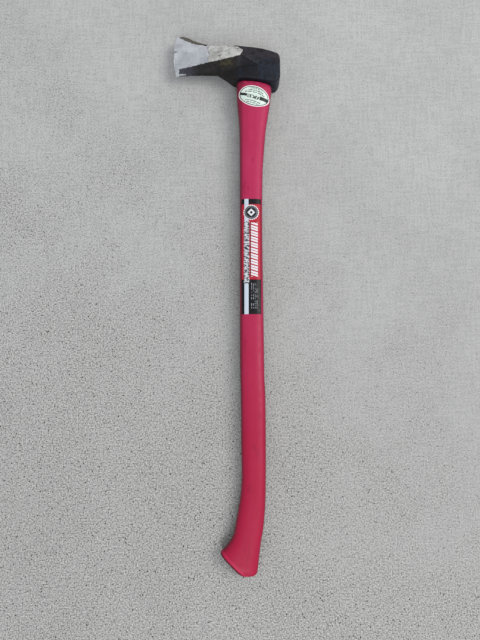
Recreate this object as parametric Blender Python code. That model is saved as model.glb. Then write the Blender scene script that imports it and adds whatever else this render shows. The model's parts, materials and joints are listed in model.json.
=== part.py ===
"""Splitting axe with a one-piece painted wooden handle, lying on its side. Metres, +Z up.

Tool frame: +X from the cutting edge to the poll, +Y up the handle to the top of the head, Z across the
thickness, origin at the middle of the eye. The pieces are modelled there, and the empty axe_lying lays
the finished axe on the ground."""

import math

import bmesh
import bpy
import numpy as np
from mathutils import Matrix, Vector
from mathutils.bvhtree import BVHTree

FIT_GAP = 0.0003  # between pieces that touch

# How the axe lies: rolled onto its lower cheek, with the knob down on the ground.
LIE_ROLL = math.radians(0.236)
LIE_PITCH = math.radians(0.727)
LIE_PLACE = Vector((0.046885, 0.39526, 0.025576))

# Head. Its lines are given as station, value: a station is x, before the cutting edge's arc is added.
BIT_X, BIT_Y, BIT_RADIUS = -0.1390, 0.0225, 0.120
ARC_END = -0.080  # the station where the arc has died away
BIT_LAND = 0.00025  # half the thickness of the cutting edge
BEVEL_SLOPE, WEDGE_RISE = 0.30, 0.0010
HALF_THICKNESS, EYE_WALL_X = 0.0256, -0.029
WEDGE_SLOPE = (HALF_THICKNESS - WEDGE_RISE) / (EYE_WALL_X - BIT_X)
CROWN, CROWN_Y = 2.0, 0.006  # below CROWN_Y the eye wall falls away by CROWN times the distance squared
POLL_X, POLL_CORNER, POLL_TAPER, TAPER_X = 0.0451, 0.006, 0.0030, 0.010
UNDERSIDE_Y = -0.0312  # behind the eye
UNDERSIDE_FRONT, UNDERSIDE_BACK = (-0.029, -0.0238), (0.030, UNDERSIDE_Y)  # x, y: it slants across the eye
TOP_LINE = [(-0.139, 0.0590), (-0.1295, 0.0594), (-0.120, 0.0576), (-0.113, 0.0549), (-0.106, 0.0512),
            (-0.093, 0.0444), (-0.077, 0.0374), (-0.058, 0.0330), (-0.030, 0.0304), (0.002, 0.0271),
            (0.019, 0.0243), (POLL_X, 0.0174)]
BOTTOM_LINE = [(-0.139, -0.0122), (-0.112, -0.0103), (-0.0625, -0.0080), (-0.0555, -0.0120),
               (-0.040, -0.0196), (-0.034, -0.0225), UNDERSIDE_FRONT, UNDERSIDE_BACK,
               (0.0372, UNDERSIDE_Y), (POLL_X, -0.0250)]
# The ridge parts the flat upper cheek from the relief below it, which ends in a notch on the eye wall.
RIDGE_LINE = [(-0.139, -0.0010), (-0.1305, 0.0001), (-0.107, 0.0025), (-0.065, 0.0067), (-0.034, 0.0101),
              (-0.0225, 0.0126), (-0.0097, 0.0046), (0.0060, -0.0046), (POLL_X, -0.0046)]
VALLEY_LINE = [(-0.139, -0.0095), (-0.0625, -0.0052), (-0.0555, -0.0075), (-0.044, -0.0072),
               (-0.0225, -0.0035), (-0.0097, -0.0038), (0.0060, -0.0056), (POLL_X, -0.0056)]
VALLEY_DEPTH = [(-0.139, BIT_LAND), (-0.122, 0.0013), (-0.093, 0.0038), (-0.0625, 0.0072), (-0.040, 0.0124),
                (-0.0225, 0.0178), (-0.0066, 0.0218), (0.0060, 0.0252), (POLL_X, 0.0252)]
BOTTOM_DEPTH = [(-0.139, BIT_LAND), (-0.122, 0.0010), (-0.093, 0.0031), (-0.0625, 0.0060), (-0.049, 0.0100),
                (-0.034, 0.0172), (-0.0225, 0.0215), (-0.010, 0.0238), (POLL_X, 0.0240)]
TOP_EDGE = [(-0.139, 0.0010), (-0.131, 0.0040), (-0.122, 0.0056), (-0.105, 0.0058), (-0.088, 0.0036),
            (-0.077, 0.0018), (-0.030, 0.0030), (POLL_X, 0.0045)]
BOTTOM_EDGE = [(-0.139, 0.0008), (-0.0625, 0.0014), (-0.020, 0.0022), (POLL_X, 0.0022)]
HEAD_STATIONS = [-0.139, -0.1360, -0.1305, -0.126, -0.119, -0.112, -0.107, -0.100, -0.093, -0.085, -0.077,
                 -0.070, -0.065, -0.0625, -0.059, -0.0555, -0.049, -0.044, -0.040, -0.034, -0.029, -0.0225,
                 -0.016, -0.0097, -0.004, 0.001, 0.006, 0.012, 0.018, 0.024, 0.030, 0.0372]

# Eye, an oval hole that widens a little to both mouths: y, half length, half width.
EYE_X = 0.001
EYE_ROUNDNESS = 2.3
EYE = [(-0.036, 0.0271, 0.0116), (-0.010, 0.0268, 0.0113), (0.010, 0.0268, 0.0116), (0.040, 0.0280, 0.0136)]
TENON_FRONT_Y, TENON_BACK_Y = 0.0338, 0.0232  # the tenon is sawn along the top of the head, a little proud
TENON_ROWS = [(TENON_FRONT_Y, TENON_BACK_Y), (0.018, 0.013), (0.0, 0.0), (-0.013, -0.017)]  # front y, back y

# Handle, from the shoulder to the knob: front edge x, y; back edge x, y; half thickness; roundness (2 is an
# ellipse).
HANDLE_RAILS = [
    (-0.0262, -0.0253, 0.0284, -0.0323, 0.0150, 2.4),
    (-0.0284, -0.0261, 0.0300, -0.0336, 0.0170, 2.6),
    (-0.0293, -0.0292, 0.0308, -0.0378, 0.0180, 2.7),
    (-0.0290, -0.0470, 0.0296, -0.0500, 0.0175, 2.7),
    (-0.0282, -0.0645, 0.0275, -0.0655, 0.0167, 2.7),
    (-0.0261, -0.0865, 0.0245, -0.0865, 0.0157, 2.8),
    (-0.0245, -0.1095, 0.0209, -0.1095, 0.0149, 2.8),
    (-0.0242, -0.139, 0.0182, -0.139, 0.0141, 2.8),
    (-0.0240, -0.190, 0.0151, -0.190, 0.0134, 2.8),
    (-0.0237, -0.275, 0.0143, -0.275, 0.0130, 2.8),
    (-0.0237, -0.428, 0.0160, -0.428, 0.0132, 2.8),
    (-0.0231, -0.528, 0.0172, -0.528, 0.0136, 2.7),
    (-0.0220, -0.568, 0.0187, -0.568, 0.0138, 2.7),
    (-0.0214, -0.640, 0.0191, -0.640, 0.0140, 2.6),
    (-0.0206, -0.690, 0.0189, -0.691, 0.0140, 2.6),
    (-0.0224, -0.720, 0.0184, -0.723, 0.0141, 2.6),
    (-0.0263, -0.744, 0.0170, -0.750, 0.0143, 2.6),
    (-0.0300, -0.765, 0.0144, -0.776, 0.0145, 2.6),
    (-0.0336, -0.7835, 0.0106, -0.797, 0.0148, 2.7),
    (-0.0398, -0.7955, 0.0084, -0.814, 0.0150, 2.8),
    (-0.0460, -0.8035, 0.0066, -0.830, 0.0150, 2.8),
    (-0.0512, -0.8085, 0.0044, -0.8440, 0.0150, 2.8),
    (-0.0546, -0.8118, -0.0010, -0.8490, 0.0148, 2.8),
    (-0.0551, -0.8132, -0.0085, -0.8500, 0.0145, 2.8),
    (-0.0548, -0.8143, -0.0160, -0.8500, 0.0140, 2.8),
    (-0.0539, -0.8155, -0.0207, -0.8487, 0.0130, 2.8),
]
HANDLE_STEP, HANDLE_SIDES = 0.024, 28
SMOOTH_ANGLE = math.radians(28)  # edges sharper than this stay sharp
ROUNDED_SHARE = 0.6  # of the half thickness, at most, that an edge rounding takes

# Wedges, driven into the top of the tenon.
WEDGE_TOP, WEDGE_TIP, WEDGE_LENGTH = 0.0064, 0.0012, 0.0520
WEDGE_TIP_Y = -0.014
STEEL_WEDGES = {"steel_wedge_front": -0.009, "steel_wedge_rear": 0.014}
STEEL_WIDTH, STEEL_TOP, STEEL_TIP, STEEL_DEPTH = 0.0190, 0.0036, 0.0010, 0.0240
STEEL_BARBS, BARB_STEP = 4, 0.0004
KERF_LENGTH, CUT_RISE = 0.0700, 0.010  # the cutters reach past the eye's ends and above the tenon

# Labels on the upper face of the handle.
LABEL_GAP, LABEL_THICKNESS = 0.0004, 0.00025
LABEL_PROBE = 0.0010
OVAL_CENTRE, OVAL_WIDTH, OVAL_HEIGHT, OVAL_TURN = (0.0005, -0.0555), 0.0530, 0.0348, math.radians(-16)
STRIP_LEFT, STRIP_RIGHT, STRIP_TOP, STRIP_BOTTOM = -0.0212, 0.0118, -0.2322, -0.4264

LACQUER = ("handle_lacquer", (0.46, 0.022, 0.072), 0.42, 0.0)
FORGED = ("head_steel", (0.035, 0.037, 0.042), 0.55, 0.6)
BEECH = ("wedge_wood", (0.52, 0.33, 0.17), 0.75, 0.0)
STEEL = ("wedge_steel", (0.38, 0.37, 0.36), 0.45, 0.9)
VINYL = ("oval_vinyl", (0.72, 0.82, 0.76), 0.35, 0.0)
PRINT = ("strip_vinyl", (0.50, 0.05, 0.07), 0.35, 0.0)


def clear_scene():
    for obj in list(bpy.data.objects):
        bpy.data.objects.remove(obj)


def new_material(name, colour, roughness, metallic):
    material = bpy.data.materials.new(name)
    material.use_nodes = True
    shader = material.node_tree.nodes["Principled BSDF"]
    shader.inputs["Base Color"].default_value = (*colour, 1.0)
    shader.inputs["Roughness"].default_value = roughness
    shader.inputs["Metallic"].default_value = metallic
    return material


def smooth_curve(points):
    """A function through the points, cubic between them, that never overshoots."""
    xs, ys = (np.array(column, float) for column in zip(*points))
    slopes = np.diff(ys) / np.diff(xs)
    tangents = np.concatenate([slopes[:1], np.zeros(len(xs) - 2), slopes[-1:]])
    for i in range(1, len(xs) - 1):
        if slopes[i - 1] * slopes[i] > 0:
            tangents[i] = 2 / (1 / slopes[i - 1] + 1 / slopes[i])

    def value(x):
        i = int(np.clip(np.searchsorted(xs, x) - 1, 0, len(xs) - 2))
        width = xs[i + 1] - xs[i]
        t = (min(max(x, xs[0]), xs[-1]) - xs[i]) / width
        return ((1 + 2 * t) * (1 - t) ** 2 * ys[i] + t * (1 - t) ** 2 * width * tangents[i]
                + t * t * (3 - 2 * t) * ys[i + 1] + t * t * (t - 1) * width * tangents[i + 1])

    return value


def straight_lines(points):
    xs, ys = zip(*points)
    return lambda x: float(np.interp(x, xs, ys))


def add_object(name, points, faces, material, parent):
    """A mesh object from points and faces, with its normals facing out and its round stretches smooth."""
    mesh = bpy.data.meshes.new(name)
    mesh.from_pydata([tuple(p) for p in points], [], faces)
    build = bmesh.new()
    build.from_mesh(mesh)
    bmesh.ops.recalc_face_normals(build, faces=build.faces)
    build.to_mesh(mesh)
    build.free()
    mesh.shade_smooth()
    mesh.set_sharp_from_angle(angle=SMOOTH_ANGLE)
    obj = bpy.data.objects.new(name, mesh)
    bpy.context.scene.collection.objects.link(obj)
    obj.parent = parent
    if material:
        mesh.materials.append(new_material(*material))
    return obj


def loft_faces(rings, sides):
    """Quads between rings of the same number of points, in order."""
    faces = []
    for first in range(0, (rings - 1) * sides, sides):
        for i in range(sides):
            j = (i + 1) % sides
            faces.append((first + i, first + j, first + sides + j, first + sides + i))
    return faces


def add_loft(name, rings, material, parent):
    """A closed solid through the rings, with one flat face over each end."""
    sides = len(rings[0])
    last = (len(rings) - 1) * sides
    ends = [tuple(range(sides)), tuple(range(last, last + sides))]
    points = [p for ring in rings for p in ring]
    return add_object(name, points, loft_faces(len(rings), sides) + ends, material, parent)


def cut(obj, cutter):
    """Takes the cutter's shape out of obj."""
    cutter.hide_render = True
    cutter.display_type = "WIRE"
    modifier = obj.modifiers.new(cutter.name, "BOOLEAN")
    modifier.operation = "DIFFERENCE"
    modifier.object = cutter


def superellipse(angle, half_width, half_height, roundness):
    power = 2 / roundness
    c, s = math.cos(angle), math.sin(angle)
    return (math.copysign(abs(c) ** power, c) * half_width, math.copysign(abs(s) ** power, s) * half_height)


# ---------------------------------------------------------------- head


def head_lines():
    return {
        "top": smooth_curve(TOP_LINE),
        "bottom": straight_lines(BOTTOM_LINE),
        "ridge": straight_lines(RIDGE_LINE),
        "valley": straight_lines(VALLEY_LINE),
        "valley_depth": smooth_curve(VALLEY_DEPTH),
        "bottom_depth": smooth_curve(BOTTOM_DEPTH),
        "top_edge": straight_lines(TOP_EDGE),
        "bottom_edge": straight_lines(BOTTOM_EDGE),
    }


def station_x(station, y):
    """Where a station of the head lies at height y: it follows the edge's arc near the bit."""
    arc = BIT_RADIUS - math.sqrt(BIT_RADIUS ** 2 - (y - BIT_Y) ** 2)
    return station + arc * np.interp(station, (BIT_X, ARC_END), (1, 0))


def upper_cheek(station, y):
    """Half thickness above the ridge: edge bevel, then wedge, then the eye wall."""
    back = station - BIT_X
    bevel = BIT_LAND + BEVEL_SLOPE * back
    wedge = WEDGE_RISE + WEDGE_SLOPE * back
    taper = POLL_TAPER * max(0.0, (station - TAPER_X) / (POLL_X - TAPER_X)) ** 2
    return min(bevel, wedge, HALF_THICKNESS - taper - CROWN * min(0.0, y - CROWN_Y) ** 2)


def cheek_depth(lines, station, y):
    """Half thickness of the head anywhere on the cheek."""
    ridge, valley, bottom = (lines[key](station) for key in ("ridge", "valley", "bottom"))
    cheek = upper_cheek(station, y)
    if y >= ridge:
        return cheek
    valley_depth = min(lines["valley_depth"](station), upper_cheek(station, valley))
    bottom_depth = min(lines["bottom_depth"](station), upper_cheek(station, bottom))
    heights = (bottom, valley, ridge)
    depths = (bottom_depth, valley_depth, upper_cheek(station, ridge))
    return min(cheek, float(np.interp(y, heights, depths)))


def rounded_edge(end, size, way):
    """Two points that round the cheek's end over, upwards for way 1 and downwards for way -1."""
    y, depth = end
    drop = min(size, ROUNDED_SHARE * depth)
    angles = (math.pi / 4, math.pi / 2)
    return [(y + way * size * math.sin(a), depth - drop * (1 - math.cos(a))) for a in angles]


def head_ring(lines, station, inset=0.0):
    """One closed section of the head: up the near cheek, then down the far one."""
    top, bottom = lines["top"](station) - inset, lines["bottom"](station) + inset
    ridge, valley = lines["ridge"](station), lines["valley"](station)
    top_edge, bottom_edge = lines["top_edge"](station), lines["bottom_edge"](station)
    heights = np.concatenate([np.linspace(bottom + bottom_edge, valley, 3), np.linspace(valley, ridge, 6)[1:],
                              np.linspace(ridge, top - top_edge, 7)[1:]])
    cheek = [(y, cheek_depth(lines, station, y) - inset) for y in heights]
    near = rounded_edge(cheek[0], bottom_edge, -1)[::-1] + cheek + rounded_edge(cheek[-1], top_edge, 1)
    ring = [(station_x(station, y), y, z) for y, z in near]
    return ring + [(x, y, -z) for x, y, z in reversed(ring)]


def add_head(parent):
    lines = head_lines()
    rings = [head_ring(lines, station) for station in HEAD_STATIONS]
    for angle in (0, 30, 60, 90):
        a = math.radians(angle)
        station = POLL_X - POLL_CORNER * (1 - math.sin(a))
        rings.append(head_ring(lines, station, POLL_CORNER * (1 - math.cos(a))))
    sides = len(rings[0])
    last = (len(rings) - 1) * sides
    edge_strip = [(i, i + 1, sides - 2 - i, sides - 1 - i) for i in range(sides // 2 - 1)]
    poll_face = [tuple(range(last, last + sides))]
    points = [p for ring in rings for p in ring]
    faces = loft_faces(len(rings), sides) + edge_strip + poll_face
    head = add_object("axe_head", points, faces, FORGED, parent)
    cut(head, add_eye_shape("eye_cutter", parent))
    return head


def add_eye_shape(name, parent):
    angles = [2 * math.pi * i / HANDLE_SIDES for i in range(HANDLE_SIDES)]
    rings = []
    for y, half_length, half_width in EYE:
        ring = [superellipse(a, half_length, half_width, EYE_ROUNDNESS) for a in angles]
        rings.append([(EYE_X + x, y, z) for x, z in ring])
    return add_loft(name, rings, None, parent)


# ---------------------------------------------------------------- handle


def tenon_rails():
    """The tenon in the eye, from the sawn top down, as HANDLE_RAILS."""
    eye_length, eye_width = smooth_curve([e[:2] for e in EYE]), smooth_curve([(e[0], e[2]) for e in EYE])
    underside = straight_lines([UNDERSIDE_FRONT, UNDERSIDE_BACK])
    mouth_ends = (EYE_X - EYE[0][1], EYE_X + EYE[0][1])
    shoulder = tuple(underside(x) - FIT_GAP for x in mouth_ends)
    rows = []
    for front_y, back_y in TENON_ROWS + [shoulder]:
        middle = (front_y + back_y) / 2
        half_length, half_width = eye_length(middle) - FIT_GAP, eye_width(middle) - FIT_GAP
        rows.append((EYE_X - half_length, front_y, EYE_X + half_length, back_y, half_width, EYE_ROUNDNESS))
    return rows


def handle_curves():
    """Each column of the rails as a smooth function of the way along the handle, and the way to each row."""
    rails = np.array(tenon_rails() + HANDLE_RAILS)
    middles = (rails[:, 0:2] + rails[:, 2:4]) / 2
    way = np.concatenate([[0], np.cumsum(np.linalg.norm(np.diff(middles, axis=0), axis=1))])
    return [smooth_curve(list(zip(way, column))) for column in rails.T], way


def handle_ring(curves, along, sides):
    front_x, front_y, back_x, back_y, half_thickness, roundness = (curve(along) for curve in curves)
    middle = Vector(((front_x + back_x) / 2, (front_y + back_y) / 2, 0))
    across = Vector(((back_x - front_x) / 2, (back_y - front_y) / 2, 0))
    ring = []
    for i in range(sides):
        u, z = superellipse(2 * math.pi * i / sides, 1.0, half_thickness, roundness)
        ring.append(middle + across * u + Vector((0, 0, z)))
    return ring


def add_handle(parent):
    curves, way = handle_curves()
    stations = []
    for start, end in zip(way[:-1], way[1:]):
        pieces = max(1, round((end - start) / HANDLE_STEP))
        stations += list(np.linspace(start, end, pieces + 1)[:-1])
    stations.append(way[-1])
    rings = [handle_ring(curves, along, HANDLE_SIDES) for along in stations]
    handle = add_loft("handle", rings, LACQUER, parent)
    cut(handle, add_wooden_wedge("kerf_cutter", FIT_GAP, KERF_LENGTH, None, parent))
    for name, x in STEEL_WEDGES.items():
        cut(handle, add_steel_wedge(name + "_slot", x, FIT_GAP, None, parent))
    return handle


# ---------------------------------------------------------------- wedges


def tenon_top(x):
    ends = (EYE_X - EYE[-1][1] + FIT_GAP, EYE_X + EYE[-1][1] - FIT_GAP)
    return float(np.interp(x, ends, (TENON_FRONT_Y, TENON_BACK_Y)))


def add_wooden_wedge(name, grow, length, material, parent):
    """A long wedge that lies along the eye; grow makes the slot that it sits in."""
    rise = CUT_RISE if grow else 0.0
    taper = (WEDGE_TOP - WEDGE_TIP) / 2 / (tenon_top(EYE_X) - WEDGE_TIP_Y)
    rings = []
    for x in (EYE_X - length / 2, EYE_X + length / 2):
        top = tenon_top(x) + rise
        half_top = WEDGE_TIP / 2 + taper * (top - WEDGE_TIP_Y) + grow
        half_tip = WEDGE_TIP / 2 + grow
        tip = WEDGE_TIP_Y - grow
        rings.append([(x, tip, -half_tip), (x, top, -half_top), (x, top, half_top), (x, tip, half_tip)])
    return add_loft(name, rings, material, parent)


def add_steel_wedge(name, x, grow, material, parent):
    """A short barbed wedge across the wooden one; grow makes the plain slot that it sits in."""
    rise = CUT_RISE if grow else 0.0
    top, tip = tenon_top(x) + rise, tenon_top(x) - STEEL_DEPTH - grow

    def half(y):
        return (STEEL_TOP + (STEEL_TOP - STEEL_TIP) * (y - tenon_top(x)) / STEEL_DEPTH) / 2 + grow

    side = [(half(tip), tip)]
    for i in range(STEEL_BARBS if not grow else 0):
        y = tip + (i + 1) * STEEL_DEPTH / (STEEL_BARBS + 1)
        side += [(half(y), y), (half(y) - BARB_STEP, y + BARB_STEP)]
    side.append((half(top), top))
    outline = [(x + w, y) for w, y in side] + [(x - w, y) for w, y in reversed(side)]
    half_width = STEEL_WIDTH / 2 + grow
    rings = [[(px, py, z) for px, py in outline] for z in (-half_width, half_width)]
    return add_loft(name, rings, material, parent)


# ---------------------------------------------------------------- labels


def add_label(name, columns, rows, place, handle, material, parent):
    """A thin skin a little above the handle. place(u, v) gives x and y for u and v from -1 to 1."""
    handle_points = [v.co for v in handle.data.vertices]
    skin = BVHTree.FromPolygons(handle_points, [p.vertices for p in handle.data.polygons])

    def on_handle(x, y):
        return skin.ray_cast(Vector((x, y, 1.0)), Vector((0, 0, -1)))[0]

    layers = []
    for lift in (LABEL_GAP, LABEL_GAP + LABEL_THICKNESS):
        grid = []
        for j in range(rows + 1):
            for i in range(columns + 1):
                x, y = place(2 * i / columns - 1, 2 * j / rows - 1)
                aside = on_handle(x + LABEL_PROBE, y) - on_handle(x - LABEL_PROBE, y)
                ahead = on_handle(x, y + LABEL_PROBE) - on_handle(x, y - LABEL_PROBE)
                grid.append(on_handle(x, y) + aside.cross(ahead).normalized() * lift)
        layers.append(grid)
    wide, count = columns + 1, (columns + 1) * (rows + 1)
    faces = []
    for layer in (0, count):
        corners = [layer + j * wide + i for j in range(rows) for i in range(columns)]
        faces += [(a, a + 1, a + wide + 1, a + wide) for a in corners]
    rim = ([i for i in range(columns)] + [j * wide + columns for j in range(rows)]
           + [rows * wide + i for i in range(columns, 0, -1)] + [j * wide for j in range(rows, 0, -1)])
    faces += [(a, b, b + count, a + count) for a, b in zip(rim, rim[1:] + rim[:1])]
    return add_object(name, layers[0] + layers[1], faces, material, parent)


def oval_place(u, v):
    """A square grid pressed into the label's ellipse and turned to its slant."""
    x = u * math.sqrt(1 - v * v / 2) * OVAL_WIDTH / 2
    y = v * math.sqrt(1 - u * u / 2) * OVAL_HEIGHT / 2
    c, s = math.cos(OVAL_TURN), math.sin(OVAL_TURN)
    return OVAL_CENTRE[0] + x * c - y * s, OVAL_CENTRE[1] + x * s + y * c


def strip_place(u, v):
    x = np.interp(u, (-1, 1), (STRIP_LEFT, STRIP_RIGHT))
    return x, np.interp(v, (-1, 1), (STRIP_BOTTOM, STRIP_TOP))


def main():
    clear_scene()
    lying = bpy.data.objects.new("axe_lying", None)
    bpy.context.scene.collection.objects.link(lying)
    lying.matrix_world = (Matrix.Translation(LIE_PLACE) @ Matrix.Rotation(LIE_PITCH, 4, "X")
                          @ Matrix.Rotation(-LIE_ROLL, 4, "Y"))
    add_head(lying)
    handle = add_handle(lying)
    wedge = add_wooden_wedge("wooden_wedge", 0.0, WEDGE_LENGTH, BEECH, lying)
    for name, x in STEEL_WEDGES.items():
        add_steel_wedge(name, x, 0.0, STEEL, lying)
        cut(wedge, bpy.data.objects[name + "_slot"])
    add_label("oval_label", 30, 16, oval_place, handle, VINYL, lying)
    add_label("strip_label", 16, 24, strip_place, handle, PRINT, lying)


main()
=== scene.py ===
"""The looks of a splitting axe: forged head, lacquered handle, wedges and labels, on pale concrete.

The pieces are lofted again here, much finer than the CAD solids that they stand for. They are worked out in
the tool frame, which is found from the record's mounts: x to the poll, y up the handle to the top of the
head, z across the thickness, with the origin at the middle of the eye. Metres throughout."""

import json
import math

import bmesh
import bpy
import numpy as np
from mathutils import Matrix, Vector, noise


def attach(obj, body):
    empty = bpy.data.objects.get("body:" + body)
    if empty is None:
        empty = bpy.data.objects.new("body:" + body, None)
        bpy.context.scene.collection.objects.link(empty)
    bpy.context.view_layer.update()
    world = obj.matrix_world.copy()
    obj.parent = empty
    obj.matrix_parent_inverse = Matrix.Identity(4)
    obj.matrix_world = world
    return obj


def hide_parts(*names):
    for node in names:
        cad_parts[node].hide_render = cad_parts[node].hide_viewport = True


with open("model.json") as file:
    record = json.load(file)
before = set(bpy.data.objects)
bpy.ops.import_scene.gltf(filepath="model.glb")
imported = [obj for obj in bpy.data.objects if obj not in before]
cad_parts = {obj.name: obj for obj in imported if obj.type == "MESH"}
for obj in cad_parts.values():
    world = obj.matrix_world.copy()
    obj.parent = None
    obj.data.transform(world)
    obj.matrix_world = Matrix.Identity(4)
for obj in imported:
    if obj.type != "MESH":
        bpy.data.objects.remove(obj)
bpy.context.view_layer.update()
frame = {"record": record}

# ---------------- driving dimensions

HOOK_X = 0.0336  # where the record's hook_face mount lies along the head
SHARP_ANGLE = 35  # degrees; edges sharper than this stay sharp
# How far the surfaces lie inside the CAD's, so that their roughness stays within it.
HEAD_SINK, HANDLE_SINK = 0.0001, 0.00005

# Head lines are given as station, value: a station is x, before the cutting edge's arc is added.
ARC_END = -0.080
BIT_X, BIT_Y, BIT_RADIUS = -0.1390, 0.0225, 0.120
BIT_LAND = 0.00025  # half the thickness of the cutting edge
BEVEL_SLOPE, WEDGE_RISE = 0.30, 0.0010
HALF_THICKNESS, EYE_WALL_X = 0.0256, -0.029
WEDGE_SLOPE = (HALF_THICKNESS - WEDGE_RISE) / (EYE_WALL_X - BIT_X)
CROWN, CROWN_Y = 2.0, 0.006  # below CROWN_Y the eye wall falls away by CROWN times the distance squared
POLL_X, POLL_CORNER, POLL_TAPER, TAPER_X = 0.0451, 0.006, 0.0030, 0.010
UNDERSIDE_Y = -0.0312  # behind the eye
UNDERSIDE_FRONT, UNDERSIDE_BACK = (-0.029, -0.0238), (0.030, UNDERSIDE_Y)  # x, y: it slants across the eye
TOP_LINE = [(-0.139, 0.0590), (-0.1295, 0.0594), (-0.120, 0.0576), (-0.113, 0.0549), (-0.106, 0.0512),
            (-0.093, 0.0444), (-0.077, 0.0374), (-0.058, 0.0330), (-0.030, 0.0304), (0.002, 0.0271),
            (0.019, 0.0243), (POLL_X, 0.0174)]
BOTTOM_LINE = [(-0.139, -0.0122), (-0.112, -0.0103), (-0.0625, -0.0080), (-0.0555, -0.0120),
               (-0.040, -0.0196), (-0.034, -0.0225), UNDERSIDE_FRONT, UNDERSIDE_BACK, (0.0372, UNDERSIDE_Y),
               (POLL_X, -0.0250)]
# The ridge parts the flat upper cheek from the relief below it, which ends in a notch on the eye wall.
RIDGE_LINE = [(-0.139, -0.0010), (-0.1305, 0.0001), (-0.107, 0.0025), (-0.065, 0.0067), (-0.034, 0.0101),
              (-0.0225, 0.0126), (-0.0097, 0.0046), (0.0060, -0.0046), (POLL_X, -0.0046)]
VALLEY_LINE = [(-0.139, -0.0095), (-0.0625, -0.0052), (-0.0555, -0.0075), (-0.044, -0.0072),
               (-0.0225, -0.0035), (-0.0097, -0.0038), (0.0060, -0.0056), (POLL_X, -0.0056)]
VALLEY_DEPTH = [(-0.139, BIT_LAND), (-0.122, 0.0013), (-0.093, 0.0038), (-0.0625, 0.0072), (-0.040, 0.0124),
                (-0.0225, 0.0178), (-0.0066, 0.0218), (0.0060, 0.0252), (POLL_X, 0.0252)]
BOTTOM_DEPTH = [(-0.139, BIT_LAND), (-0.122, 0.0010), (-0.093, 0.0031), (-0.0625, 0.0060), (-0.049, 0.0100),
                (-0.034, 0.0172), (-0.0225, 0.0215), (-0.010, 0.0238), (POLL_X, 0.0240)]
TOP_EDGE = [(-0.139, 0.0010), (-0.131, 0.0040), (-0.122, 0.0056), (-0.105, 0.0058), (-0.088, 0.0036),
            (-0.077, 0.0018), (-0.030, 0.0030), (POLL_X, 0.0045)]
BOTTOM_EDGE = [(-0.139, 0.0008), (-0.0625, 0.0014), (-0.020, 0.0022), (POLL_X, 0.0022)]
ROUNDED_SHARE = 0.6  # of the half thickness, at most, that an edge rounding takes
HEAD_STEP = 0.0011
FOOT_POINTS, RELIEF_POINTS, CHEEK_POINTS = 14, 18, 34  # up each facet of the head's side
CORNER_ANGLES = [math.radians(a) for a in (18, 36, 54, 72, 90)]
EDGE_NICKS = [(0.0315, 0.0022, 0.0013), (0.012, 0.0014, 0.0005)]  # y, half height, depth
# Where the bare metal stops: upwards, as stations and heights measured from the top line; at the rear;
# along a slanting corner, by a point and the inward normal; behind the cutting edge; and at the worn heel.
BARE_TOP = [(-0.1310, -0.0012), (-0.1260, -0.0044), (-0.120, -0.0066), (-0.113, -0.0080), (-0.106, -0.0082),
            (-0.099, -0.0074), (-0.092, -0.0062), (-0.086, -0.0048), (-0.0800, -0.0034), (-0.0765, 0.0040),
            (-0.038, 0.0040), (-0.036, -0.0018), (-0.026, -0.0042), (-0.019, -0.0075)]
BARE_BACK_X, BARE_CORNER, BARE_NORMAL = -0.0186, (-0.0238, 0.0124), (-0.78, 0.62)
EDGE_BAND_X, HEEL_X, HEEL_Y, HEEL_RIM = -0.1290, -0.1175, -0.0082, 0.0012
APEX_X = -0.0225  # where the ridge turns down into the notch
NOTCH_START, NOTCH_END = -0.026, 0.0075
STAIN_AT, NICK_MARK_AT = (-0.046, 0.0035), (-0.1370, 0.0320)
# How far back from the edge its wear reaches, how much all of it is worn, and the rings that stay sharp.
EDGE_REACH, EDGE_SET_BACK, EDGE_RINGS = 0.014, 0.00015, 3
# Where the skin's roughness and the dents on the poll's face begin, and the lengths that they come in over.
SKIN_FADE, THIN_X, THIN_FADE, PEIN_X, PEIN_FADE = 0.002, BIT_X + 0.002, 0.012, 0.043, 0.004
# Layers of surface noise: amount, size, seed.
FORGED_SKIN = [(0.00022, 0.016, 1), (0.00012, 0.006, 2), (0.00006, 0.0025, 4)]
WORN_METAL, WORN_LINES = [(0.00010, 0.011, 6)], [(0.00003, 0.004, 8)]  # the lines run lengthwise
PEIN_DENTS = [(0.0003, 0.007, 9)]
EDGE_WEAR = [(0.0003, 0.004, 3), (0.0002, 0.0015, 5)]
FAR = 1.0

EYE_X = 0.001
EYE_ROUNDNESS = 2.3  # 2 is an ellipse
# y, half length along x, half width along z.
EYE = [(-0.036, 0.0271, 0.0116), (-0.010, 0.0268, 0.0113), (0.010, 0.0268, 0.0116), (0.040, 0.0280, 0.0136)]
TENON_FRONT_Y, TENON_BACK_Y = 0.0338, 0.0232
TENON_ROWS = [(TENON_FRONT_Y, TENON_BACK_Y), (0.018, 0.013), (0.0, 0.0), (-0.013, -0.017)]  # front y, back y
FIT_GAP = 0.0003
WOOD_END_Y = -0.0240  # the lacquer ends here, in the eye

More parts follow.
